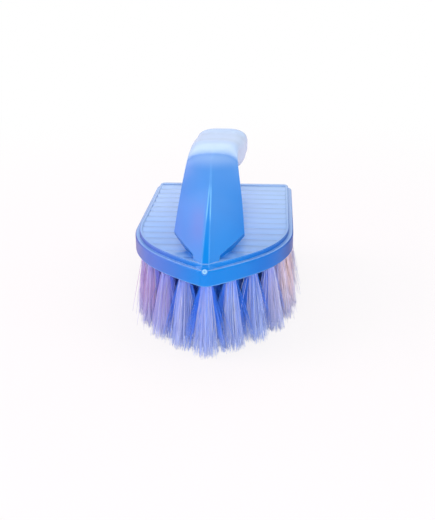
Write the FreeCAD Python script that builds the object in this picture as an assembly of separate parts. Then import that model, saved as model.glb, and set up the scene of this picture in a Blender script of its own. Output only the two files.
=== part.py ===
# Scrub brush with a bridge handle: one moulded body, drilled from below for
# bristle tufts, each tuft folded over a flat metal anchor at the bottom of its hole.
# Millimetres. +Z is up with z = 0 at the bristle tips, -Y is the pointed front.
import FreeCAD, Part
import math
import os

Vector = FreeCAD.Vector

# Block: pointed plan with a shoulder arc and a front arc on each side, a flange and a raised panel
block_length = 152.0
block_width = 92.0
shoulder_arc_radius = 62.0
front_arc_radius = 150.0
shoulder_turn = 45.0
tip_radius = 6.0
back_corner_radius = 6.0
least_plan_radius = 3.0
flange_height = 9.0
flange_edge_radius = 1.0
ledge_width = 2.5
panel_step = 2.5
panel_edge_radius = 0.4

# Crowned ribs across the panel, sunk a little below the flat border round them
rib_pitch = 9.35
rib_height = 0.65
rib_sink = 0.15
rib_border = 1.7
rib_back_margin = 3.6

# Handle: leaning prow with a keel facet, grip and rear leg in one bridge
handle_rise = 48.0
prow_foot_setback = 1.5
leg_setback = 4.5
leg_embed = 6.0
prow_thickness = 12.0
grip_thickness = 18.0
shoulder_thickness = 19.5
leg_upper_thickness = 16.5
leg_thickness = 14.0
keel_half_width = 1.9
prow_blank_half_width = 23.0
wing_half_width = 19.0
prow_half_width = 16.6
bend_half_width = 13.8
grip_half_width = 16.1
shoulder_half_width = 13.7
leg_upper_half_width = 8.4
leg_lower_half_width = 7.2
leg_foot_half_width = 6.5
neck_half_width = 7.1
neck_foot_half_width = 6.3
neck_length = 10.5

# Gate mark left by moulding, on the tip of the flange
gate_diameter = 3.0
gate_height = 0.4
gate_lift = 30.0

# Bristle tufts in rows that follow the plan
bristle_length = 39.0
tuft_root_diameter = 5.8
tuft_tip_diameter = 15.6
tuft_tip_gap = 0.4
tuft_pitch = 14.8
outer_row_inset = 6.5
row_spacing = 15.0
side_splay = 1.8
end_splay = 4.5
tuft_sides = 8
row_names = ["outer", "middle", "inner", "centre"]

# Blind holes and the flat anchors that hold the tufts in them
hole_depth = 8.0
hole_wall = 1.0
tuft_clearance = 0.12
anchor_length = 5.9
anchor_width = 2.0
anchor_thickness = 0.5
anchor_lift = 1.8
anchor_clearance = 0.08

# Cutters run this far past what they cut, and edges this close to a level lie in it
overrun = 5.0
level_tolerance = 0.001

# Levels and places that follow from the sizes above
flange_bottom = bristle_length
flange_top = flange_bottom + flange_height
panel_top = flange_top + panel_step
rib_floor = panel_top - rib_sink - rib_height
tip_y = -block_length / 2
back_y = block_length / 2
rib_start_y = back_y - ledge_width - rib_back_margin
shoulder_x = block_width / 2 - shoulder_arc_radius
front_x = shoulder_x - (front_arc_radius - shoulder_arc_radius) * math.cos(math.radians(shoulder_turn))
tip_reach = math.sqrt((front_arc_radius - tip_radius) ** 2 - front_x ** 2)
front_y = tip_y + tip_radius + tip_reach
shoulder_y = front_y - (front_arc_radius - shoulder_arc_radius) * math.sin(math.radians(shoulder_turn))
handle_front = tip_y + prow_foot_setback
handle_span = block_length - prow_foot_setback - leg_setback
upper_thickness = (prow_thickness + grip_thickness) / 2
palm_half_width = (bend_half_width + grip_half_width) / 2

# The prow's ridge runs straight from the tip of the flange to the bend, which is
# placed by shares of the handle's span and rise. The wings are widest part way up.
bend_along_share = 0.356
bend_rise_share = 0.948
wing_reach_share = 0.3875
prow_foot = Vector(0, handle_front, flange_top)
prow_bend_y = handle_front + bend_along_share * handle_span
prow_bend = Vector(0, prow_bend_y, panel_top + bend_rise_share * handle_rise)
prow_line = prow_bend - prow_foot
prow_turn = math.degrees(math.atan2(prow_line.y, prow_line.z))

# Prow stations: share of the ridge, added turn in degrees, thickness, half width, form.
# A form holds the keel facet as a share of its width at the foot, the depths of the
# side's upper and lower edges as shares of the thickness, and how far the crown and
# the belly are rounded, from 0 for flat facets to 1 for a full round.
prow_station_shares = [
    (-0.114, 0, prow_thickness, prow_blank_half_width, (1.00, 1.10, 1.38, 0.0, 0.0)),
    (wing_reach_share, 0, prow_thickness, wing_half_width, (0.63, 0.89, 1.18, 0.0, 0.0)),
    (0.695, 0, prow_thickness, prow_half_width, (0.21, 0.49, 0.88, 0.05, 0.2)),
    (1.000, 3, prow_thickness, bend_half_width, (0.32, 0.33, 0.76, 0.4, 0.6)),
]

# Grip and leg stations: shares of span and rise, turn in degrees, thickness, half width, form
leg_end_share = -(panel_step + leg_embed) / handle_rise
grip_station_shares = [
    (0.460, 1.000, 84, upper_thickness, bend_half_width, (1.3, 0.31, 0.72, 0.85, 0.9)),
    (0.565, 0.966, 90, grip_thickness, palm_half_width, (1.8, 0.36, 0.68, 1.0, 1.0)),
    (0.716, 0.912, 93, grip_thickness, grip_half_width, (1.8, 0.42, 0.66, 1.0, 1.0)),
    (0.853, 0.868, 105, grip_thickness, grip_half_width, (1.8, 0.42, 0.66, 1.0, 1.0)),
    (0.945, 0.822, 120, shoulder_thickness, grip_half_width, (1.8, 0.45, 0.62, 1.0, 1.0)),
    (0.992, 0.660, 138, shoulder_thickness, shoulder_half_width, (1.6, 0.48, 0.60, 1.0, 1.0)),
    (1.000, 0.425, 154, leg_upper_thickness, leg_upper_half_width, (1.4, 0.48, 0.60, 1.0, 1.0)),
    (0.998, 0.188, 170, leg_thickness, leg_lower_half_width, (1.2, 0.45, 0.60, 1.0, 1.0)),
    (0.996, leg_end_share, 180, leg_thickness, leg_foot_half_width, (1.0, 0.42, 0.60, 1.0, 1.0)),
]
belly_flat_share = 0.35

# Tufts lean away from points on the centre line, at this share of their own Y
splay_pivot_share = 0.5

# Shares of the free length at which a tuft is held clear of its neighbours
clear_level_shares = [0.25, 0.5, 0.75, 1.0]


def arc(start, centre, start_turn, end_turn, radius):
    """Arc edge about a centre between two turns, given in radians."""
    middle_turn = (start_turn + end_turn) / 2
    middle = centre + Vector(math.cos(middle_turn), math.sin(middle_turn), 0) * radius
    end = centre + Vector(math.cos(end_turn), math.sin(end_turn), 0) * radius
    return Part.Arc(start, middle, end).toShape(), end


def plan_wire(inset, level):
    """The block's plan moved in by an inset, starting at the front tip."""
    half_width = block_width / 2 - inset
    front_radius = front_arc_radius - inset
    shoulder_radius = shoulder_arc_radius - inset
    nose_radius = max(tip_radius - inset, least_plan_radius)
    corner_radius = max(back_corner_radius - inset, least_plan_radius)
    nose_reach = math.sqrt((front_radius - nose_radius) ** 2 - front_x ** 2)
    nose_centre = Vector(0, front_y - nose_reach, level)
    front_centre = Vector(front_x, front_y, level)
    shoulder_centre = Vector(shoulder_x, shoulder_y, level)
    corner_centre = Vector(half_width - corner_radius, back_y - inset - corner_radius, level)
    down = -math.pi / 2
    nose_turn = math.atan2(-nose_reach, -front_x)
    turn = -math.radians(shoulder_turn)
    start = nose_centre + Vector(0, -nose_radius, 0)
    nose, nose_end = arc(start, nose_centre, down, nose_turn, nose_radius)
    front, front_end = arc(nose_end, front_centre, nose_turn, turn, front_radius)
    side, side_end = arc(front_end, shoulder_centre, turn, 0, shoulder_radius)
    corner_start = corner_centre + Vector(corner_radius, 0, 0)
    flank = Part.LineSegment(side_end, corner_start).toShape()
    corner, corner_end = arc(corner_start, corner_centre, 0, -down, corner_radius)
    back = Part.LineSegment(corner_end, Vector(0, back_y - inset, level)).toShape()
    right = [nose, front, side, flank, corner, back]
    mirror = [edge.mirror(Vector(0, 0, 0), Vector(1, 0, 0)) for edge in right]
    return Part.Wire(right + mirror[::-1])


def prism(inset, bottom, height):
    """Upright solid on the plan moved in by an inset."""
    return Part.Face(plan_wire(inset, bottom)).extrude(Vector(0, 0, height))


def edges_at(solid, level):
    """Edges of a solid that lie in one level plane."""
    found = []
    for edge in solid.Edges:
        box = edge.BoundBox
        if max(abs(box.ZMin - level), abs(box.ZMax - level)) < level_tolerance:
            found.append(edge)
    return found


def ribs():
    """Crowned ribs across the panel, running on under the flat border round them."""
    root = flange_top
    count = math.ceil(block_length / rib_pitch)
    groove = Vector(-block_width / 2, rib_start_y + rib_pitch, rib_floor)
    below_start = Vector(groove.x, groove.y, root)
    edges = [Part.LineSegment(below_start, groove).toShape()]
    for _ in range(count + 1):
        crown = groove + Vector(0, -rib_pitch / 2, rib_height)
        following = groove + Vector(0, -rib_pitch, 0)
        edges.append(Part.Arc(groove, crown, following).toShape())
        groove = following
    below_end = Vector(groove.x, groove.y, root)
    edges.append(Part.LineSegment(groove, below_end).toShape())
    edges.append(Part.LineSegment(below_end, below_start).toShape())
    field = Part.Face(Part.Wire(edges)).extrude(Vector(block_width, 0, 0))
    return field.common(prism(ledge_width + rib_border / 2, root, panel_step))


def rib_recess():
    """Recess inside the panel's border, which the ribs stand in."""
    bottom = rib_floor - rib_height
    height = panel_top + overrun - bottom
    behind = Part.makeBox(block_width, block_length, height, Vector(-block_width / 2, rib_start_y, bottom))
    return prism(ledge_width + rib_border, bottom, height).cut(behind)


def block():
    """Flange and ribbed panel, without holes."""
    flange = prism(0, flange_bottom, flange_height)
    rim_radius = min(flange_edge_radius, flange_height / 3, ledge_width / 2)
    flange = flange.makeFillet(rim_radius, edges_at(flange, flange_top))
    flange = flange.makeChamfer(rim_radius / 2, edges_at(flange, flange_bottom))
    panel = prism(ledge_width, flange_bottom + flange_height / 2, flange_height / 2 + panel_step)
    edge_radius = min(panel_edge_radius, rib_border / 2, panel_step / 2)
    panel = panel.makeChamfer(edge_radius, edges_at(panel, panel_top))
    panel = panel.cut(rib_recess())
    return flange.fuse([panel, ribs()]).removeSplitter()


def section_poles(upper, turn, thickness, half_width, form):
    """Poles of a closed section of eight quadratic curves, from the top centre round."""
    keel, edge_top, edge_bottom, crown, belly = form
    inward = Vector(0, math.cos(math.radians(turn)), -math.sin(math.radians(turn)))

    def pulled(start, end, corner, roundness):
        middle = [(a + b) / 2 for a, b in zip(start, end)]
        return tuple(m + roundness * (c - m) for m, c in zip(middle, corner))

    ridge = (keel * keel_half_width, 0)
    shoulder = (half_width, edge_top * thickness)
    hip = (half_width, edge_bottom * thickness)
    under = (belly_flat_share * half_width, thickness)
    crown_pole = pulled(ridge, shoulder, (half_width, 0), crown)
    side_pole = pulled(shoulder, hip, shoulder, 0)
    belly_pole = pulled(hip, under, (half_width, thickness), belly)
    right = [ridge, crown_pole, shoulder, side_pole, hip, belly_pole, under]
    left = [(-side, depth) for side, depth in right[::-1]]
    loop = [(0, 0)] + right + [(0, thickness)] + left
    return [upper + Vector(side, 0, 0) + inward * depth for side, depth in loop]


def station_rows():
    """Section poles at every station, from the prow's foot to the foot of the rear leg."""
    rows = []
    for reach, turn, thickness, half_width, form in prow_station_shares:
        upper = prow_foot + prow_line * reach
        rows.append(section_poles(upper, prow_turn + turn, thickness, half_width, form))
    for along, rise, turn, thickness, half_width, form in grip_station_shares:
        upper = Vector(0, handle_front + along * handle_span, panel_top + rise * handle_rise)
        rows.append(section_poles(upper, turn, thickness, half_width, form))
    return rows


def cap(row, trios):
    """Flat face that closes one end of the bridge."""
    edges = []
    for trio in trios:
        bezier = Part.BezierCurve()
        bezier.setPoles([row[k] for k in trio])
        edges.append(bezier.toShape())
    return Part.Face(Part.Wire(edges))


def bridge():
    """Prow, grip and leg skinned through the stations, as eight strips in three lengths."""
    rows = station_rows()
    size = len(rows[0])
    middles = [(row[0] + row[size // 2]) * 0.5 for row in rows]
    reach = [0.0]
    for start, end in zip(middles, middles[1:]):
        reach.append(reach[-1] + start.distanceToPoint(end))
    lanes = []
    for k in range(size):
        lane = Part.BSplineCurve()
        lane.interpolate(Points=[row[k] for row in rows], Parameters=reach)
        lanes.append(lane)
    trios = [[(k + step) % size for step in range(3)] for k in range(-1, size - 1, 2)]
    bend = len(prow_station_shares) - 1
    stops = [reach[0], reach[bend], reach[-bend], reach[-1]]
    faces = [cap(rows[0], trios), cap(rows[-1], trios)]
    knots = lanes[0].getKnots()
    repeats = lanes[0].getMultiplicities()
    degree = lanes[0].Degree
    for trio in trios:
        poles = [lanes[k].getPoles() for k in trio]
        strip = Part.BSplineSurface()
        strip.buildFromPolesMultsKnots(poles, [3, 3], repeats, [0, 1], knots, False, False, 2, degree)
        faces += [strip.toShape(0, 1, start, end) for start, end in zip(stops, stops[1:])]
    shell = Part.makeShell(faces)
    shell.sewShape()
    return Part.Solid(shell)


def wing_cut(hand):
    """Cutter for the lower corner of the prow on one hand, square to its lean."""
    along = Vector(prow_line).normalize()
    through = Vector(0, along.z, -along.y)
    wing_reach = wing_reach_share * prow_line.Length
    steep = (wing_reach - neck_length) / (wing_half_width - neck_half_width)
    far = prow_blank_half_width + overrun
    depth = prow_thickness + prow_blank_half_width
    corners = [
        (neck_foot_half_width, -depth),
        (neck_foot_half_width, 0),
        (neck_half_width, neck_length),
        (far, neck_length + steep * (far - neck_half_width)),
        (far, -depth),
    ]
    start = prow_foot - through * overrun
    points = [start + Vector(hand * side, 0, 0) + along * reach for side, reach in corners]
    return polygon_face(points).extrude(through * (depth + overrun))


def handle():
    """The bridge with the prow's lower corners cut off, trimmed to the block's plan."""
    bottom = flange_bottom + flange_height / 2
    height = panel_top + handle_rise + overrun - bottom
    cut = bridge().cut([wing_cut(1), wing_cut(-1)])
    return cut.common(prism(flange_edge_radius, bottom, height))


def gate_mark():
    """Low round mark where the plastic entered the mould."""
    lift = math.radians(gate_lift)
    outward = Vector(0, -math.cos(lift), math.sin(lift))
    seat = Vector(0, tip_y + flange_edge_radius, flange_top - flange_edge_radius)
    return Part.makeCylinder(gate_diameter / 2, flange_edge_radius + gate_height, seat, outward)


def row_insets():
    """Insets of the tuft rows, as many as the plan's half width has room for."""
    insets = []
    inset = outer_row_inset
    while block_width / 2 - inset > row_spacing / 2:
        insets.append(inset)
        inset += row_spacing
    return insets


def row_roots(inset):
    """Root points of one row, as many as leave a wall between their holes."""
    wire = plan_wire(inset, flange_bottom)
    count = 2 * round(wire.Length / tuft_pitch / 2)
    least_pitch = tuft_root_diameter + 2 * tuft_clearance + hole_wall
    while True:
        roots = wire.discretize(Number=count + 1)[:count]
        pairs = [(a, b) for k, a in enumerate(roots) for b in roots[:k]]
        if all(a.distanceToPoint(b) > least_pitch for a, b in pairs):
            return roots
        count -= 2


def tuft_places():
    """Name, root point and outward splay of every tuft, row by row."""
    places = []
    for row, inset in enumerate(row_insets()):
        for number, root in enumerate(row_roots(inset)):
            heart = Vector(0, splay_pivot_share * root.y, flange_bottom)
            outward = (root - heart).normalize() * (1 / (row + 1))
            splay = Vector(side_splay * outward.x, end_splay * outward.y, 0)
            name = "{}_tuft_{:02d}".format(row_names[row], number + 1)
            places.append((name, root, splay))
    return places


def tip_radius_at(index, places):
    """Flared radius of a tuft, held clear of its nearest neighbour all the way down."""
    stem = tuft_root_diameter / 2
    limits = [tuft_tip_diameter / 2]
    for down in clear_level_shares:
        centres = [root + splay * down for name, root, splay in places]
        others = centres[:index] + centres[index + 1:]
        nearest = min(centres[index].distanceToPoint(other) for other in others)
        limits.append(stem + ((nearest - tuft_tip_gap) / 2 - stem) / down)
    return min(limits)


def ring(centre, radius, level):
    """Corners of a tuft's level polygon."""
    turns = [2 * math.pi * k / tuft_sides for k in range(tuft_sides)]
    return [Vector(centre.x + radius * math.cos(t), centre.y + radius * math.sin(t), level) for t in turns]


def polygon_face(points):
    """Flat face with these corners."""
    return Part.Face(Part.makePolygon(points + points[:1]))


def anchor(root, grow):
    """Flat anchor across a hole, grown on all sides for the slot that takes it."""
    size = Vector(anchor_length, anchor_thickness, anchor_width) + Vector(grow, grow, grow) * 2
    level = flange_bottom + hole_depth - anchor_lift - anchor_width
    corner = Vector(root.x - size.x / 2, root.y - size.y / 2, level - grow)
    return Part.makeBox(size.x, size.y, size.z, corner)


def tuft(root, splay, tip):
    """One tuft from the bottom of its hole to the trimmed tips, with the anchor's slot."""
    stem = tuft_root_diameter / 2
    rings = [
        ring(root, stem, flange_bottom + hole_depth - tuft_clearance),
        ring(root, stem, flange_bottom),
        ring(root + splay, tip, flange_bottom - bristle_length),
    ]
    faces = [polygon_face(rings[0]), polygon_face(rings[-1])]
    for upper, lower in zip(rings, rings[1:]):
        for k in range(tuft_sides):
            faces.append(polygon_face([upper[k - 1], upper[k], lower[k], lower[k - 1]]))
    return Part.Solid(Part.makeShell(faces)).cut(anchor(root, anchor_clearance))


def hole(root):
    """Blind hole for one tuft, with the tuft's own sides and a clearance round it."""
    mouth = ring(root, tuft_root_diameter / 2 + tuft_clearance, flange_bottom - overrun)
    return polygon_face(mouth).extrude(Vector(0, 0, hole_depth + overrun))


def build():
    """Every node of the brush by name."""
    places = tuft_places()
    body = block().fuse([handle(), gate_mark()])
    body = body.cut([hole(root) for name, root, splay in places])
    nodes = {"moulded_body": body.Solids[0]}
    for index, (name, root, splay) in enumerate(places):
        nodes[name] = tuft(root, splay, tip_radius_at(index, places))
    nodes["anchor_staples"] = Part.makeCompound([anchor(root, 0) for name, root, splay in places])
    return nodes


os.makedirs("parts", exist_ok=True)
for node_name, shape in build().items():
    shape.exportStep("parts/" + node_name + ".step")
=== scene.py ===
"""Scrub brush: glossy moulded body, tufts of separate filaments, white studio."""
import math
import random

import bpy
from mathutils import Matrix, Vector

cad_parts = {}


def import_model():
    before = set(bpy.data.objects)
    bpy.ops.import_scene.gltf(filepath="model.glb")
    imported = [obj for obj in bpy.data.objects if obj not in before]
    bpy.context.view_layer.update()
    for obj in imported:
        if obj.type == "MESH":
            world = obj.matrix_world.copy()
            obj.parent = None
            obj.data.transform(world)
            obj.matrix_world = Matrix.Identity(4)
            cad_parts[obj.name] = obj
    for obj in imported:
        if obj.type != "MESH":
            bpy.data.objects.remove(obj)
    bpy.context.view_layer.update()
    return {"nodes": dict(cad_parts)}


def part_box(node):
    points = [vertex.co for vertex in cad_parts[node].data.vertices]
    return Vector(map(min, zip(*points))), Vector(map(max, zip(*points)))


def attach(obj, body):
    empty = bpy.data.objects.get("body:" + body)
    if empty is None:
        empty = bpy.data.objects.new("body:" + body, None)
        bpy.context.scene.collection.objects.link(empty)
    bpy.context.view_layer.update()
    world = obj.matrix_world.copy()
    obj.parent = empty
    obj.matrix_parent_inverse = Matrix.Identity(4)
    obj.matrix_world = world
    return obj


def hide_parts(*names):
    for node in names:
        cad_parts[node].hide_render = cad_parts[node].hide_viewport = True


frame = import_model()
MM = 0.001

# Camera, fitted to the photograph's perspective
CAMERA_YAW = 4.46
CAMERA_PITCH = 22.19
CAMERA_ROLL = -0.40
CAMERA_PLACE = (0.0344, -0.4324, 0.2003)
CAMERA_LENS = 53.0
CAMERA_SENSOR = 36.0
CAMERA_CLIP = (0.01, 100.0)

# Colours, as sRGB bytes
AZURE = (0, 119, 206)
AZURE_PALE = (4, 125, 212)
# Painted pale reflection of the white surroundings on level faces, the grip and the plate's top
PAINTED_REFLECTION_WHITE = (176, 204, 240)
# Painted shade on the right walls of the nose
AZURE_SHADE = (0, 92, 190)
# Painted mauve reflection on the left of the body
MAUVE_REFLECTION = (114, 92, 182)
# Painted shade, mauve, at the far left end
PLUM_SHADE = (84, 62, 150)
# Painted shade, violet, at the far right end
VIOLET_SHADE = (40, 34, 128)
# Edge wear and painted edge highlights
EDGE_WEAR_AND_HIGHLIGHT = (140, 196, 250)
# Painted highlight on the keel's edges and ridge
KEEL_HIGHLIGHT = (136, 208, 255)
GATE_RING = (150, 198, 244)
GATE_HEART = (104, 156, 222)
PERIWINKLE = (134, 176, 255)
LAVENDER = (178, 194, 255)
# Painted blue shade for strands of inner rows, the backs of tufts and the roots
BLUE_SHADE = (32, 126, 255)
ROYAL_BLUE_SHADE = (70, 142, 255)
TIP_PALE = (186, 208, 255)
# Painted pinkish light on strands at the left side
MAUVE = (216, 160, 208)
# Rose white: painted pinkish light on strands at the right side, also the pale streaks
ROSE_WHITE = (255, 226, 218)
# Painted highlight on strands that stand for hairs catching the light
STRAND_HIGHLIGHT = (238, 244, 255)
STEEL = (168, 170, 172)
PAPER = (236, 220, 228)

# Linear colours of the studio
WHITE = (1.0, 1.0, 1.0, 1.0)
PAPER_FIBRE = (0.85, 0.85, 0.86, 1.0)

# Zones of the body's paint: where a share starts, where it is full and, if not 0 and 1, both shares.
# Heights, places along the brush and places across it are in metres in the shared frame.
UP_FACING = (0.80, 0.98)
AHEAD_FACING = (-0.20, -0.60)
RIDGE_ASIDE = (0.005, 0.002)
RIDGE_HEIGHT = (0.062, 0.072)
EDGE_FACING = (0.992, 0.90)
NOSE_ALONG = (0.070, -0.010)
# Painted mauve reflection and painted shade on the walls of the nose, by place across
LEFT_REFLECTION_ACROSS = (-0.001, -0.034, 0.0, 0.42)
SHADE_ACROSS = (0.010, 0.036, 0.0, 0.6)
LEFT_END_ACROSS = (-0.034, -0.047, 0.0, 0.6)
RIGHT_END_ACROSS = (0.036, 0.047, 0.0, 0.6)
# Painted mauve reflection on the prow's left face beside the keel
PLATE_REFLECTION_NEAR = (-0.0012, -0.0035, 0.0, 0.28)
PLATE_REFLECTION_FAR = (-0.014, -0.005)
PLATE_REFLECTION_FOOT = (0.050, 0.064)
PLATE_REFLECTION_HEAD = (0.077, 0.067)
SHELTER_OPEN = (0.28, 0.75, 0.2, 1.0)
FLANK_ALONG = (-0.035, 0.010)
FLANK_ASIDE = (0.028, 0.036)
FLANK_REAR = (0.055, 0.065)
SUNK_FOOT = (0.0494, 0.0498)
SUNK_HEAD = (0.0512, 0.0508)
SUNK_ASIDE = (0.009, 0.011, 0.0, 0.84)
SUNK_INWARD = (0.0, -0.005)
LEVEL_ALONG = (-0.065, 0.06, 0.38, 0.71)
GRIP_HEIGHT = (0.060, 0.086, 0.0, 0.88)
PLATE_FADE = (0.054, 0.092, 0.0, 0.17)
PLATE_TOP = (0.088, 0.097, 0.0, 0.45)
# Painted highlight along the bottom edge of the flange
HEM_HIGHLIGHT_HEIGHT = (0.0400, 0.0394, 0.0, 0.4)
KEEL_FOOT = (0.0484, 0.0500)
KEEL_HEAD = (0.094, 0.086, 0.0, 0.15)
# Painted highlight streak on the ridge: heights
SHINE_FOOT = (0.066, 0.071)
SHINE_HEAD = (0.084, 0.078)
KEEL_HIGHLIGHT_OFF = (0.55 * MM, 0.15 * MM)
GATE_HEART_REACH = (1.0 * MM, 0.6 * MM)
GATE_REACH = (1.5 * MM, 1.2 * MM)

# Body plastic
EDGE_ROUNDING = 0.45 * MM
RIDGE_ROUNDING = 1.8 * MM
ROUNDING_SAMPLES = 6
# Painted shade under sheltering parts: reach and samples of the occlusion that lowers the painted reflection
SHELTER_REACH = 22.0 * MM
SHELTER_SAMPLES = 8
FLANK_OPEN = 0.92
KEEL_HEIGHTS = (0.048, 0.084)
KEEL_HALF_WIDTHS = (1.9 * MM, 0.3 * MM)
SHINE_GAIN = 0.4
GATE_CENTRE = Vector((0.0, -75.6, 47.6)) * MM
CLOUD_SCALE = 26.0
CLOUD_SPAN = (0.35, 0.7)
# Edge wear and painted edge highlights: noise scale and span
WEAR_HIGHLIGHT_SCALE = 160.0
WEAR_HIGHLIGHT_SPAN = (0.3, 0.7, 0.15, 0.6)
FLOW_SCALE = (60.0, 22.0, 60.0)
FLOW_ROUGHNESS = (0.3, 0.75, 0.20, 0.27)
GRAIN_SCALE = 1500.0
GRAIN_STRENGTH = 0.015
GRAIN_DEPTH = 0.1 * MM
SWELL_SCALE = 55.0
SWELL_STRENGTH = 0.10
SWELL_DEPTH = 1.2 * MM
# Specular level where the ends are painted as shade
GLOSS_BY_PAINTED_SHADE = (0.0, 0.5, 0.32, 0.05)
PLASTIC_IOR = 1.45

# Anchor wire
DRAWN_SCALE = (300.0, 6000.0, 6000.0)
DRAWN_ROUGHNESS = (0.3, 0.7, 0.25, 0.45)
DRAWN_STRENGTH = 0.2
DRAWN_DEPTH = 0.05 * MM

# Filament plastic, by the share of the strand's length from its root
STREAK_SCALE = (2400.0, 2400.0, 160.0)
STREAK_SPAN = (0.4, 0.8, 0.0, 0.10)
STREAK_ROUGHNESS = (0.3, 0.7, 0.32, 0.5)
STREAK_STRENGTH = 0.15
STREAK_DEPTH = 0.03 * MM
# Painted blue shade towards the root
ROOT_SHADE = (0.55, 0.0, 0.0, 0.55)
TIP_FADE = (0.45, 1.0, 0.0, 0.66)
FILAMENT_IOR = 1.5

# Shape of the filaments
FILAMENTS_PER_TUFT = 340
FILAMENT_SIDES = 4
FILAMENT_ROOT_RADIUS = 0.12 * MM
FILAMENT_TIP_RADIUS = 0.055 * MM
FILAMENT_TAPER_POWER = 1.6
FILAMENT_GAUGE = (0.85, 1.15)
FILAMENT_STEP_SHARES = (0.0, 0.14, 0.32, 0.55, 0.78, 0.92, 1.0)
HOLE_REACH = 2.5 * MM
HOLE_FILL = 0.9
UV_FILL = 0.9
FLARE_OUT = 1.08
FLARE_ALONG = 0.92
FLARE_ALONG_BACK = 1.85
FLARE_POWER = 1.08
TWIST = 0.10
LENGTHWISE_SHARE = 0.5
BACK_LIMIT = (-0.10, 0.35)
BEND = 0.55 * MM
TIP_JITTER = 0.8 * MM
TRIM_SPREAD = 0.7 * MM
TRIM_SHARE = 0.6
SHORT_SHARE = 0.05
SHORT_SPREAD = 7.0 * MM
STRAY_SHARE = 0.035
STRAY_FRONT = 0.4
STRAY_GAIN = 1.45
SIDE_SPAN = (0.020, 0.040)
SIDE_SWEEP = 1.6 * MM
SIDE_HOLD = 0.28
SEED = 41

# Dye of the filaments and painted light: tints at the sides as painted pinkish light, for pale strands and for
# deep strands in painted shade, and painted highlight strands
ROSE_SIDE = (0.026, 0.040)
MAUVE_SIDE = (-0.006, -0.040)
ROSE_PALE = 1.0
ROSE_DEEP = 0.72
MAUVE_PALE = 0.9
MAUVE_DEEP = 0.62
TINT_SPREAD = (0.5, 1.0)
# Painted highlight strands: shares and blend
HIGHLIGHT_SHARE = 0.14
HIGHLIGHT_SHARE_DEEP = 0.05
HIGHLIGHT_BLEND = 0.75
SHADE_SPREAD = (0.92, 1.05)
ROSE_ROOT = 0.8
MAUVE_ROOT = 0.35

# Studio
WORLD_LIGHT = 0.5
WORLD_MIRRORED = (-0.3, 0.5, 0.06, 1.0)
FLOOR_REACH = 12.0
FLOOR_MIRRORED = 0.5
FLOOR_WHITE = (0.12, 0.6, 0.82, 1.0)
FIBRE_SCALE = 400.0
FIBRE_SPAN = (0.3, 0.7, 0.0, 0.03)
LAMPS = {
    "back_softbox": {"place": (0.0, 0.9, 0.9), "target": (0.0, 0.0, 0.05), "size": (1.4, 0.8), "watts": 6.0},
    "left_softbox": {"place": (-1.0, 0.0, 0.78), "target": (0.0, -0.04, 0.07), "size": (0.8, 0.7),
                     "watts": 6.5, "colour": (1.0, 0.80, 0.88)},
    "right_softbox": {"place": (0.95, -0.05, 0.9), "target": (0.0, -0.04, 0.07), "size": (0.8, 0.7),
                      "watts": 2.8},
    "front_softbox": {"place": (0.085, -1.0, 0.38), "target": (0.0, -0.06, 0.03), "size": (0.45, 0.35),
                      "watts": 6.8, "mirrored": False},
}


def linear(colour):
    """Linear RGBA of an sRGB colour in bytes."""
    parts = [c / 255 for c in colour]
    return [c / 12.92 if c <= 0.04045 else ((c + 0.055) / 1.055) ** 2.4 for c in parts] + [1.0]


def smooth(low, high, value):
    """Smooth step from 0 at low to 1 at high."""
    share = min(max((value - low) / (high - low), 0.0), 1.0)
    return share * share * (3 - 2 * share)


def mixed(first, second, share):
    """Blend of two linear colours."""
    return [a + (b - a) * share for a, b in zip(first, second)]


class Graph:
    """Short hand for building one material's or world's node tree."""

    def __init__(self, tree):
        self.tree = tree
        self.tree.nodes.clear()

    def fill(self, socket, value):
        if isinstance(value, bpy.types.NodeSocket):
            self.tree.links.new(value, socket)
        else:
            socket.default_value = value

    def add(self, kind, inputs=None, **settings):
        node = self.tree.nodes.new(kind)
        for key, value in settings.items():
            setattr(node, key, value)
        for key, value in (inputs or {}).items():
            self.fill(node.inputs[key], value)
        return node

    def math(self, operation, first, second=0.0):
        return self.add("ShaderNodeMath", {0: first, 1: second}, operation=operation).outputs[0]

    def product(self, first, *others):
        for other in others:
            first = self.math("MULTIPLY", first, other)
        return first

    def blend(self, share, first, second):
        inputs = {0: share, 6: first, 7: second}
        return self.add("ShaderNodeMix", inputs, data_type="RGBA").outputs[2]

    def between(self, share, first, second):
        return self.add("ShaderNodeMix", {0: share, 2: first, 3: second}).outputs[0]

    def range(self, value, low, high, to_low=0.0, to_high=1.0):
        inputs = {0: value, 1: low, 2: high, 3: to_low, 4: to_high}
        return self.add("ShaderNodeMapRange", inputs, interpolation_type="SMOOTHSTEP").outputs[0]

    def noise(self, vector, scale, detail=3.0):
        inputs = {"Vector": vector, "Scale": scale, "Detail": detail, "Roughness": 0.5}
        return self.add("ShaderNodeTexNoise", inputs).outputs["Fac"]

    def stretched(self, vector, scale):
        return self.add("ShaderNodeMapping", {"Vector": vector, "Scale": scale}).outputs[0]

    def split(self, vector):
        return self.add("ShaderNodeSeparateXYZ", {0: vector}).outputs

    def measure(self, operation, first, second=(0.0, 0.0, 0.0)):
        inputs = {0: first, 1: second}
        return self.add("ShaderNodeVectorMath", inputs, operation=operation).outputs["Value"]

    def bump(self, height, strength, distance, normal=None):
        inputs = {"Height": height, "Strength": strength, "Distance": distance}
        if normal is not None:
            inputs["Normal"] = normal
        return self.add("ShaderNodeBump", inputs).outputs[0]

    def object_place(self):
        return self.add("ShaderNodeTexCoord").outputs["Object"]

    def surface(self, shader):
        self.add("ShaderNodeOutputMaterial", {"Surface": shader.outputs[0]})


def material(name):
    """New node material and its graph."""
    made = bpy.data.materials.new(name)
    made.use_nodes = True
    return made, Graph(made.node_tree)


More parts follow.
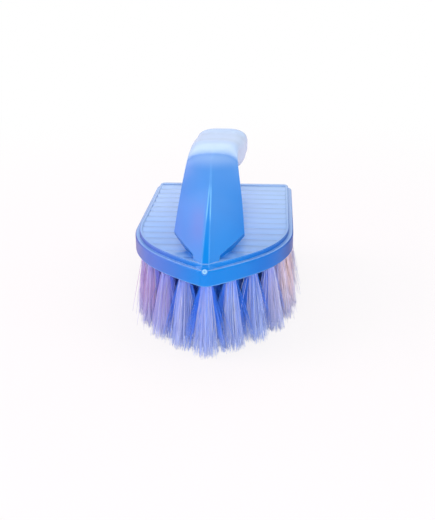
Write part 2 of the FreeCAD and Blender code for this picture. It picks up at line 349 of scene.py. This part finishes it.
def plastic():
    """Azure moulded plastic: cloudy pigment, painted mauve reflections and painted shade at the sides, a
    painted pale reflection on the top, edge wear with painted edge highlights, flow marks, fine grain.
    """
    made, graph = material("moulded_plastic")
    place = graph.object_place()
    across = graph.split(place)
    aside = graph.math("ABSOLUTE", across["X"])
    ridge = graph.product(graph.range(aside, *RIDGE_ASIDE), graph.range(across["Z"], *RIDGE_HEIGHT))
    softness = graph.range(ridge, 0.0, 1.0, EDGE_ROUNDING, RIDGE_ROUNDING)
    rounded = graph.add("ShaderNodeBevel", {"Radius": softness}, samples=ROUNDING_SAMPLES).outputs[0]
    flat = graph.add("ShaderNodeNewGeometry").outputs["Normal"]
    edge = graph.range(graph.measure("DOT_PRODUCT", rounded, flat), *EDGE_FACING)
    facets = graph.split(rounded)
    up = graph.range(facets["Z"], *UP_FACING)
    ahead = graph.range(facets["Y"], *AHEAD_FACING)
    walls = graph.math("SUBTRACT", 1.0, up)

    clouds = graph.noise(place, CLOUD_SCALE, 2.0)
    colour = graph.blend(graph.range(clouds, *CLOUD_SPAN), linear(AZURE), linear(AZURE_PALE))
    nose = graph.product(walls, graph.range(across["Y"], *NOSE_ALONG))
    # Painted mauve reflection of pinkish surroundings on the left walls of the nose
    left_reflection = graph.product(nose, graph.range(across["X"], *LEFT_REFLECTION_ACROSS))
    # Painted shade: the walls on the right of the nose are painted darker
    shade = graph.product(nose, graph.range(across["X"], *SHADE_ACROSS))
    # Painted shade at the far left and right ends, darker to offset their grazing reflection
    left_end = graph.product(nose, graph.range(across["X"], *LEFT_END_ACROSS))
    right_end = graph.product(nose, graph.range(across["X"], *RIGHT_END_ACROSS))
    colour = graph.blend(left_reflection, colour, linear(MAUVE_REFLECTION))
    colour = graph.blend(shade, colour, linear(AZURE_SHADE))
    colour = graph.blend(left_end, colour, linear(PLUM_SHADE))
    colour = graph.blend(right_end, colour, linear(VIOLET_SHADE))
    # Painted mauve reflection on the prow's left face beside the keel
    plate_reflection = graph.product(ahead, graph.range(across["X"], *PLATE_REFLECTION_NEAR), graph.range(across["X"], *PLATE_REFLECTION_FAR))
    plate_reflection = graph.product(plate_reflection, graph.range(across["Z"], *PLATE_REFLECTION_FOOT), graph.range(across["Z"], *PLATE_REFLECTION_HEAD))
    colour = graph.blend(plate_reflection, colour, linear(MAUVE_REFLECTION))

    # Painted reflection: level faces, the grip and the plate's top are painted pale as if mirroring the white
    # surroundings
    painted_reflection = painted_reflection_share(graph, across, aside, facets, up, ahead, walls)
    colour = graph.blend(painted_reflection, colour, linear(PAINTED_REFLECTION_WHITE))
    # Edge wear and painted edge highlights: pale lines along the rounded edges
    wear_and_highlight = graph.product(edge, graph.range(graph.noise(place, WEAR_HIGHLIGHT_SCALE), *WEAR_HIGHLIGHT_SPAN))
    colour = graph.blend(wear_and_highlight, colour, linear(EDGE_WEAR_AND_HIGHLIGHT))
    # Painted highlight line along the bottom edge of the flange
    colour = graph.blend(graph.range(across["Z"], *HEM_HIGHLIGHT_HEIGHT), colour, linear(EDGE_WEAR_AND_HIGHLIGHT))
    # Painted highlight lines along the keel's edges
    colour = keel_highlights(graph, aside, across["Z"], ahead, colour)
    colour = gate_paint(graph, place, colour)

    flow = graph.noise(graph.stretched(place, FLOW_SCALE), 1.0, 1.0)
    normal = graph.bump(graph.noise(place, SWELL_SCALE, 2.0), SWELL_STRENGTH, SWELL_DEPTH, rounded)
    normal = graph.bump(graph.noise(place, GRAIN_SCALE, 2.0), GRAIN_STRENGTH, GRAIN_DEPTH, normal)
    inputs = {
        "Base Color": colour,
        "Roughness": graph.range(flow, *FLOW_ROUGHNESS),
        "Normal": normal,
        "IOR": PLASTIC_IOR,
        # Lower specular level where the ends are painted as shade
        "Specular IOR Level": graph.range(graph.math("MAXIMUM", left_end, right_end), *GLOSS_BY_PAINTED_SHADE),
    }
    graph.surface(graph.add("ShaderNodeBsdfPrincipled", inputs))
    return made


def painted_reflection_share(graph, across, aside, facets, up, ahead, walls):
    """Share of the painted pale reflection: the panel, the walls of its sunk field, the grip and the plate's
    top, lowered as painted shade where the body shelters the surface.
    """
    # Painted shade: the painted reflection is lowered where the body shelters the surface, as beside the neck
    # under the wings
    shelter = graph.add("ShaderNodeAmbientOcclusion", {"Distance": SHELTER_REACH},
                        samples=SHELTER_SAMPLES, only_local=True)
    open_sky = graph.range(shelter.outputs["AO"], *SHELTER_OPEN)
    flanks = graph.product(graph.range(across["Y"], *FLANK_ALONG), graph.range(aside, *FLANK_ASIDE))
    flanks = graph.math("MAXIMUM", flanks, graph.range(across["Y"], *FLANK_REAR))
    open_sky = graph.math("MAXIMUM", open_sky, graph.product(flanks, FLANK_OPEN))
    level = graph.product(up, graph.range(across["Y"], *LEVEL_ALONG), open_sky)

    sunk = graph.product(graph.range(across["Z"], *SUNK_FOOT), graph.range(across["Z"], *SUNK_HEAD))
    sunk = graph.product(sunk, graph.range(aside, *SUNK_ASIDE), walls)
    lean_x = graph.product(facets["X"], across["X"])
    lean_y = graph.product(facets["Y"], across["Y"])
    sunk = graph.product(sunk, graph.range(graph.math("ADD", lean_x, lean_y), *SUNK_INWARD))

    grip = graph.product(graph.range(across["Z"], *GRIP_HEIGHT), graph.math("SUBTRACT", 1.0, ahead))
    fade = graph.math("ADD", graph.range(across["Z"], *PLATE_FADE), graph.range(across["Z"], *PLATE_TOP))
    handle = graph.math("MAXIMUM", grip, graph.product(fade, ahead))
    return graph.math("MAXIMUM", graph.math("MAXIMUM", level, sunk), handle)


def keel_highlights(graph, aside, height, ahead, colour):
    """Painted highlight lines along both edges of the keel facet, joined to one on the ridge, with a painted
    highlight streak higher up.
    """
    low, high = KEEL_HEIGHTS
    wide, narrow = KEEL_HALF_WIDTHS
    half_width = graph.add("ShaderNodeMapRange", {0: height, 1: low, 2: high, 3: wide, 4: narrow}).outputs[0]
    off = graph.math("ABSOLUTE", graph.math("SUBTRACT", aside, half_width))
    line = graph.product(graph.range(off, *KEEL_HIGHLIGHT_OFF), ahead, graph.range(height, *KEEL_FOOT))
    # Painted highlight streak on the ridge
    shine = graph.product(graph.range(height, *SHINE_FOOT), graph.range(height, *SHINE_HEAD), SHINE_GAIN)
    strength = graph.math("ADD", graph.range(height, *KEEL_HEAD), shine)
    return graph.blend(graph.product(line, strength), colour, linear(KEEL_HIGHLIGHT))


def gate_paint(graph, place, colour):
    """Paler ring and duller heart painted at the gate mark on the tip of the flange."""
    reach = graph.measure("DISTANCE", place, GATE_CENTRE)
    mark = graph.blend(graph.range(reach, *GATE_HEART_REACH), linear(GATE_RING), linear(GATE_HEART))
    return graph.blend(graph.range(reach, *GATE_REACH), colour, mark)


def steel():
    """Drawn flat wire of the anchors."""
    made, graph = material("anchor_wire")
    lines = graph.noise(graph.stretched(graph.object_place(), DRAWN_SCALE), 1.0)
    inputs = {
        "Base Color": linear(STEEL),
        "Roughness": graph.range(lines, *DRAWN_ROUGHNESS),
        "Metallic": 1.0,
        "Normal": graph.bump(lines, DRAWN_STRENGTH, DRAWN_DEPTH),
    }
    graph.surface(graph.add("ShaderNodeBsdfPrincipled", inputs))
    return made


def filament_plastic():
    """Drawn filament: coloured per strand with dye and painted light, deeper blue at the root as painted shade,
    paler at the tip, streaked along its length.
    """
    made, graph = material("bristle_filament")
    dye_and_painted_light = graph.add("ShaderNodeAttribute", attribute_name="dye_and_painted_light").outputs
    along = graph.add("ShaderNodeAttribute", attribute_name="along").outputs["Fac"]
    streak = graph.noise(graph.stretched(graph.object_place(), STREAK_SCALE), 1.0, 2.0)
    # Painted shade: each strand turns deep blue towards its root
    root = graph.product(graph.range(along, *ROOT_SHADE), dye_and_painted_light["Alpha"])
    colour = graph.blend(root, dye_and_painted_light["Color"], linear(BLUE_SHADE))
    colour = graph.blend(graph.range(along, *TIP_FADE), colour, linear(TIP_PALE))
    colour = graph.blend(graph.range(streak, *STREAK_SPAN), colour, linear(ROSE_WHITE))
    inputs = {
        "Base Color": colour,
        "Roughness": graph.range(streak, *STREAK_ROUGHNESS),
        "IOR": FILAMENT_IOR,
        "Normal": graph.bump(streak, STREAK_STRENGTH, STREAK_DEPTH),
    }
    graph.surface(graph.add("ShaderNodeBsdfPrincipled", inputs))
    return made


def tuft_axis(node):
    """Root centre at the hole's mouth, tip centre and both radii of a tuft's CAD solid."""
    points = [v.co for v in frame["nodes"][node].data.vertices]
    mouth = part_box("moulded_body")[0].z
    top = max(p.z for p in points)
    stem = [p for p in points if p.z > top - MM]
    tips = [p for p in points if p.z < MM]
    root = sum(stem, Vector()) / len(stem)
    tip = sum(tips, Vector()) / len(tips)
    root_radius = max((p - root).xy.length for p in stem)
    tip_radius = max((p - tip).xy.length for p in tips)
    return Vector((root.x, root.y, mouth)), tip, root_radius, tip_radius


def strand_dye_and_painted_light(draw, root, in_painted_shade):
    """Colour of one filament by its side and row of the brush: dye, painted pinkish light at the sides, painted
    blue shade on strands of inner rows and the backs of tufts, painted highlight strands; its alpha is how deep
    the root's painted shade is.
    """
    # Painted pinkish light at the sides, mixed into the dye: rose on the right, mauve on the left
    rose = smooth(*ROSE_SIDE, root.x)
    mauve = smooth(*MAUVE_SIDE, root.x)
    pale = mixed(linear(PERIWINKLE), linear(LAVENDER), draw.random())
    blue = mixed(linear(BLUE_SHADE), linear(ROYAL_BLUE_SHADE), draw.random())
    tint = draw.uniform(*TINT_SPREAD)
    # Strands of inner rows and the backs of tufts are painted deep blue as shade
    colour = blue if in_painted_shade else pale
    colour = mixed(colour, linear(MAUVE), mauve * tint * (MAUVE_DEEP if in_painted_shade else MAUVE_PALE))
    colour = mixed(colour, linear(ROSE_WHITE), rose * tint * (ROSE_DEEP if in_painted_shade else ROSE_PALE))
    # Painted highlight: some strands are painted near white as hairs catching the light
    if draw.random() < (HIGHLIGHT_SHARE_DEEP if in_painted_shade else HIGHLIGHT_SHARE):
        colour = mixed(colour, linear(STRAND_HIGHLIGHT), HIGHLIGHT_BLEND)
    shade = draw.uniform(*SHADE_SPREAD)
    return [min(c * shade, 1.0) for c in colour[:3]] + [1.0 - ROSE_ROOT * rose - MAUVE_ROOT * mauve]


def strand_path(draw, root, tip, root_radius, tip_radius):
    """Centre points of one filament from its hole to its trimmed end, and whether it grows at the back."""
    reach = math.sqrt(draw.random())
    turn = draw.uniform(0, 2 * math.pi)
    spoke = Vector((math.cos(turn), math.sin(turn), 0))
    twist = turn + draw.gauss(0, TWIST)
    flare = Vector((math.cos(twist), math.sin(twist), 0))
    outward = Vector((root.x, root.y * LENGTHWISE_SHARE, 0)).normalized()
    side = smooth(*SIDE_SPAN, abs(root.x))
    back = spoke.dot(outward) < draw.uniform(*BACK_LIMIT)
    along = FLARE_ALONG_BACK if back else FLARE_ALONG
    out = FLARE_OUT - SIDE_HOLD * side
    flare = flare * along + outward * (flare.dot(outward) * (out - along))
    stray = STRAY_GAIN if draw.random() < STRAY_SHARE * (STRAY_FRONT + side) else 1.0
    jitter = Vector((draw.gauss(0, TIP_JITTER), draw.gauss(0, TIP_JITTER), 0))
    bend = Vector((draw.gauss(0, BEND), draw.gauss(0, BEND), 0))
    start = root + spoke * (reach * root_radius * HOLE_FILL)
    end = tip + flare * (reach * tip_radius * stray) + jitter
    end.x += SIDE_SWEEP * side
    end.z = abs(draw.gauss(0, TRIM_SPREAD)) * TRIM_SHARE
    if draw.random() < SHORT_SHARE:
        end.z += draw.random() * SHORT_SPREAD
    points = [Vector((start.x, start.y, root.z + HOLE_REACH))]
    for share in FILAMENT_STEP_SHARES:
        spread = 1 - (1 - share) ** FLARE_POWER
        place = start.lerp(end, spread) + bend * (share * (1 - share) * 2)
        place.z = root.z + (end.z - root.z) * share
        points.append(place)
    return points, back


def tuft(node, paint, seed):
    """One tuft of separate closed filaments, in the place of its CAD solid."""
    draw = random.Random(seed)
    root, tip, root_radius, tip_radius = tuft_axis(node)
    corners, faces, strand_colours, alongs, uvs = [], [], [], [], []
    turns = [2 * math.pi * k / FILAMENT_SIDES for k in range(FILAMENT_SIDES)]
    sides = [Vector((math.cos(t), math.sin(t), 0)) for t in turns]
    taper = FILAMENT_TIP_RADIUS - FILAMENT_ROOT_RADIUS
    for number in range(FILAMENTS_PER_TUFT):
        points, back = strand_path(draw, root, tip, root_radius, tip_radius)
        dye_and_painted_light = strand_dye_and_painted_light(draw, root, back or not node.startswith("outer"))
        gauge = draw.uniform(*FILAMENT_GAUGE)
        first = len(corners)
        last = len(points) - 1
        for step, point in enumerate(points):
            share = step / last
            radius = gauge * (FILAMENT_ROOT_RADIUS + taper * share ** FILAMENT_TAPER_POWER)
            corners += [point + side * radius for side in sides]
            strand_colours += [dye_and_painted_light] * FILAMENT_SIDES
            alongs += [share] * FILAMENT_SIDES
        left = number / FILAMENTS_PER_TUFT
        width = UV_FILL / FILAMENTS_PER_TUFT
        for step in range(last):
            low = first + step * FILAMENT_SIDES
            high = low + FILAMENT_SIDES
            for k in range(FILAMENT_SIDES):
                following = (k + 1) % FILAMENT_SIDES
                faces.append((low + following, low + k, high + k, high + following))
                u0 = left + width * k / FILAMENT_SIDES
                u1 = left + width * (k + 1) / FILAMENT_SIDES
                v0, v1 = step / last, (step + 1) / last
                uvs += [(u1, v0), (u0, v0), (u0, v1), (u1, v1)]
        end = first + last * FILAMENT_SIDES
        faces.append(tuple(first + k for k in range(FILAMENT_SIDES)))
        uvs += [(left, 0.0)] * FILAMENT_SIDES
        faces.append(tuple(end + k for k in reversed(range(FILAMENT_SIDES))))
        uvs += [(left, 1.0)] * FILAMENT_SIDES
    mesh = bpy.data.meshes.new("bristles_" + node)
    mesh.from_pydata(corners, [], faces)
    colour_layer = mesh.attributes.new("dye_and_painted_light", "FLOAT_COLOR", "POINT")
    colour_layer.data.foreach_set("color", [c for d in strand_colours for c in d])
    mesh.attributes.new("along", "FLOAT", "POINT").data.foreach_set("value", alongs)
    layer = mesh.uv_layers.new(name="OFBake")
    layer.data.foreach_set("uv", [c for uv in uvs for c in uv])
    mesh.shade_smooth()
    mesh.materials.append(paint)
    piece = bpy.data.objects.new("bristles_" + node, mesh)
    bpy.context.scene.collection.objects.link(piece)
    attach(piece, "root")
    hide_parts(node)


def dress(node, paint):
    """Gives a CAD node its finished material."""
    slots = frame["nodes"][node].data.materials
    slots.clear()
    slots.append(paint)


def world():
    """White surroundings, dimmer as a light than as a background, and dim in mirrors towards the front."""
    made = bpy.data.worlds.new("studio")
    made.use_nodes = True
    graph = Graph(made.node_tree)
    path = graph.add("ShaderNodeLightPath").outputs
    rearward = graph.split(graph.add("ShaderNodeTexCoord").outputs["Generated"])["Y"]
    gloss = graph.math("MAXIMUM", path["Is Glossy Ray"], path["Is Transmission Ray"])
    strength = graph.between(gloss, WORLD_LIGHT, graph.range(rearward, *WORLD_MIRRORED))
    strength = graph.between(path["Is Camera Ray"], strength, 1.0)
    shade = graph.add("ShaderNodeBackground", {"Color": WHITE, "Strength": strength})
    graph.add("ShaderNodeOutputWorld", {"Surface": shade.outputs[0]})
    bpy.context.scene.world = made


def floor():
    """Pale floor that keeps the shadow, lifted to the background's white where it is seen."""
    mesh = bpy.data.meshes.new("floor")
    corners = [(FLOOR_REACH * x, FLOOR_REACH * y, 0) for x, y in ((-1, -1), (1, -1), (1, 1), (-1, 1))]
    mesh.from_pydata(corners, [], [(0, 1, 2, 3)])
    made, graph = material("floor_paper")
    place = graph.object_place()
    fibre = graph.range(graph.noise(place, FIBRE_SCALE), *FIBRE_SPAN)
    matte = graph.add("ShaderNodeBsdfDiffuse", {"Color": graph.blend(fibre, linear(PAPER), PAPER_FIBRE)})
    glow = graph.add("ShaderNodeEmission", {"Color": WHITE, "Strength": 1.0})
    path = graph.add("ShaderNodeLightPath").outputs
    gloss = graph.math("MAXIMUM", path["Is Glossy Ray"], path["Is Transmission Ray"])
    seen = graph.math("MAXIMUM", path["Is Camera Ray"], graph.product(gloss, FLOOR_MIRRORED))
    share = graph.product(seen, graph.range(graph.measure("LENGTH", place), *FLOOR_WHITE))
    graph.surface(graph.add("ShaderNodeMixShader", {0: share, 1: matte.outputs[0], 2: glow.outputs[0]}))
    mesh.materials.append(made)
    piece = bpy.data.objects.new("floor", mesh)
    bpy.context.scene.collection.objects.link(piece)


def softbox(name, place, target, size, watts, colour=(1.0, 1.0, 1.0), mirrored=True):
    """Rectangular area lamp that faces a target."""
    lamp = bpy.data.lights.new(name, "AREA")
    lamp.shape = "RECTANGLE"
    lamp.size, lamp.size_y = size
    lamp.energy = watts
    lamp.color = colour
    holder = bpy.data.objects.new(name, lamp)
    holder.location = place
    holder.rotation_mode = "QUATERNION"
    holder.rotation_quaternion = (Vector(target) - Vector(place)).to_track_quat("-Z", "Y")
    holder.visible_camera = False
    holder.visible_glossy = mirrored
    bpy.context.scene.collection.objects.link(holder)


def camera():
    """Camera at the photograph's place, with its small roll."""
    yaw, pitch, roll = (math.radians(turn) for turn in (CAMERA_YAW, CAMERA_PITCH, CAMERA_ROLL))
    back = Vector((math.sin(yaw) * math.cos(pitch), -math.cos(yaw) * math.cos(pitch), math.sin(pitch)))
    right = Vector((math.cos(yaw), math.sin(yaw), 0))
    up = back.cross(right)
    level = right * math.cos(roll) + up * math.sin(roll)
    upright = up * math.cos(roll) - right * math.sin(roll)
    lens = bpy.data.cameras.new("camera")
    lens.lens = CAMERA_LENS
    lens.sensor_width = CAMERA_SENSOR
    lens.clip_start, lens.clip_end = CAMERA_CLIP
    holder = bpy.data.objects.new("camera", lens)
    turned = Matrix((level, upright, back)).transposed().to_4x4()
    holder.matrix_world = Matrix.Translation(CAMERA_PLACE) @ turned
    bpy.context.scene.collection.objects.link(holder)
    bpy.context.scene.camera = holder


bpy.context.scene.view_settings.view_transform = "Standard"
camera()
world()
floor()
for name, lamp in LAMPS.items():
    softbox(name, **lamp)
dress("moulded_body", plastic())
dress("anchor_staples", steel())
strand_paint = filament_plastic()
for seed, node in enumerate(sorted(n for n in frame["nodes"] if "_tuft_" in n)):
    tuft(node, strand_paint, SEED + seed)
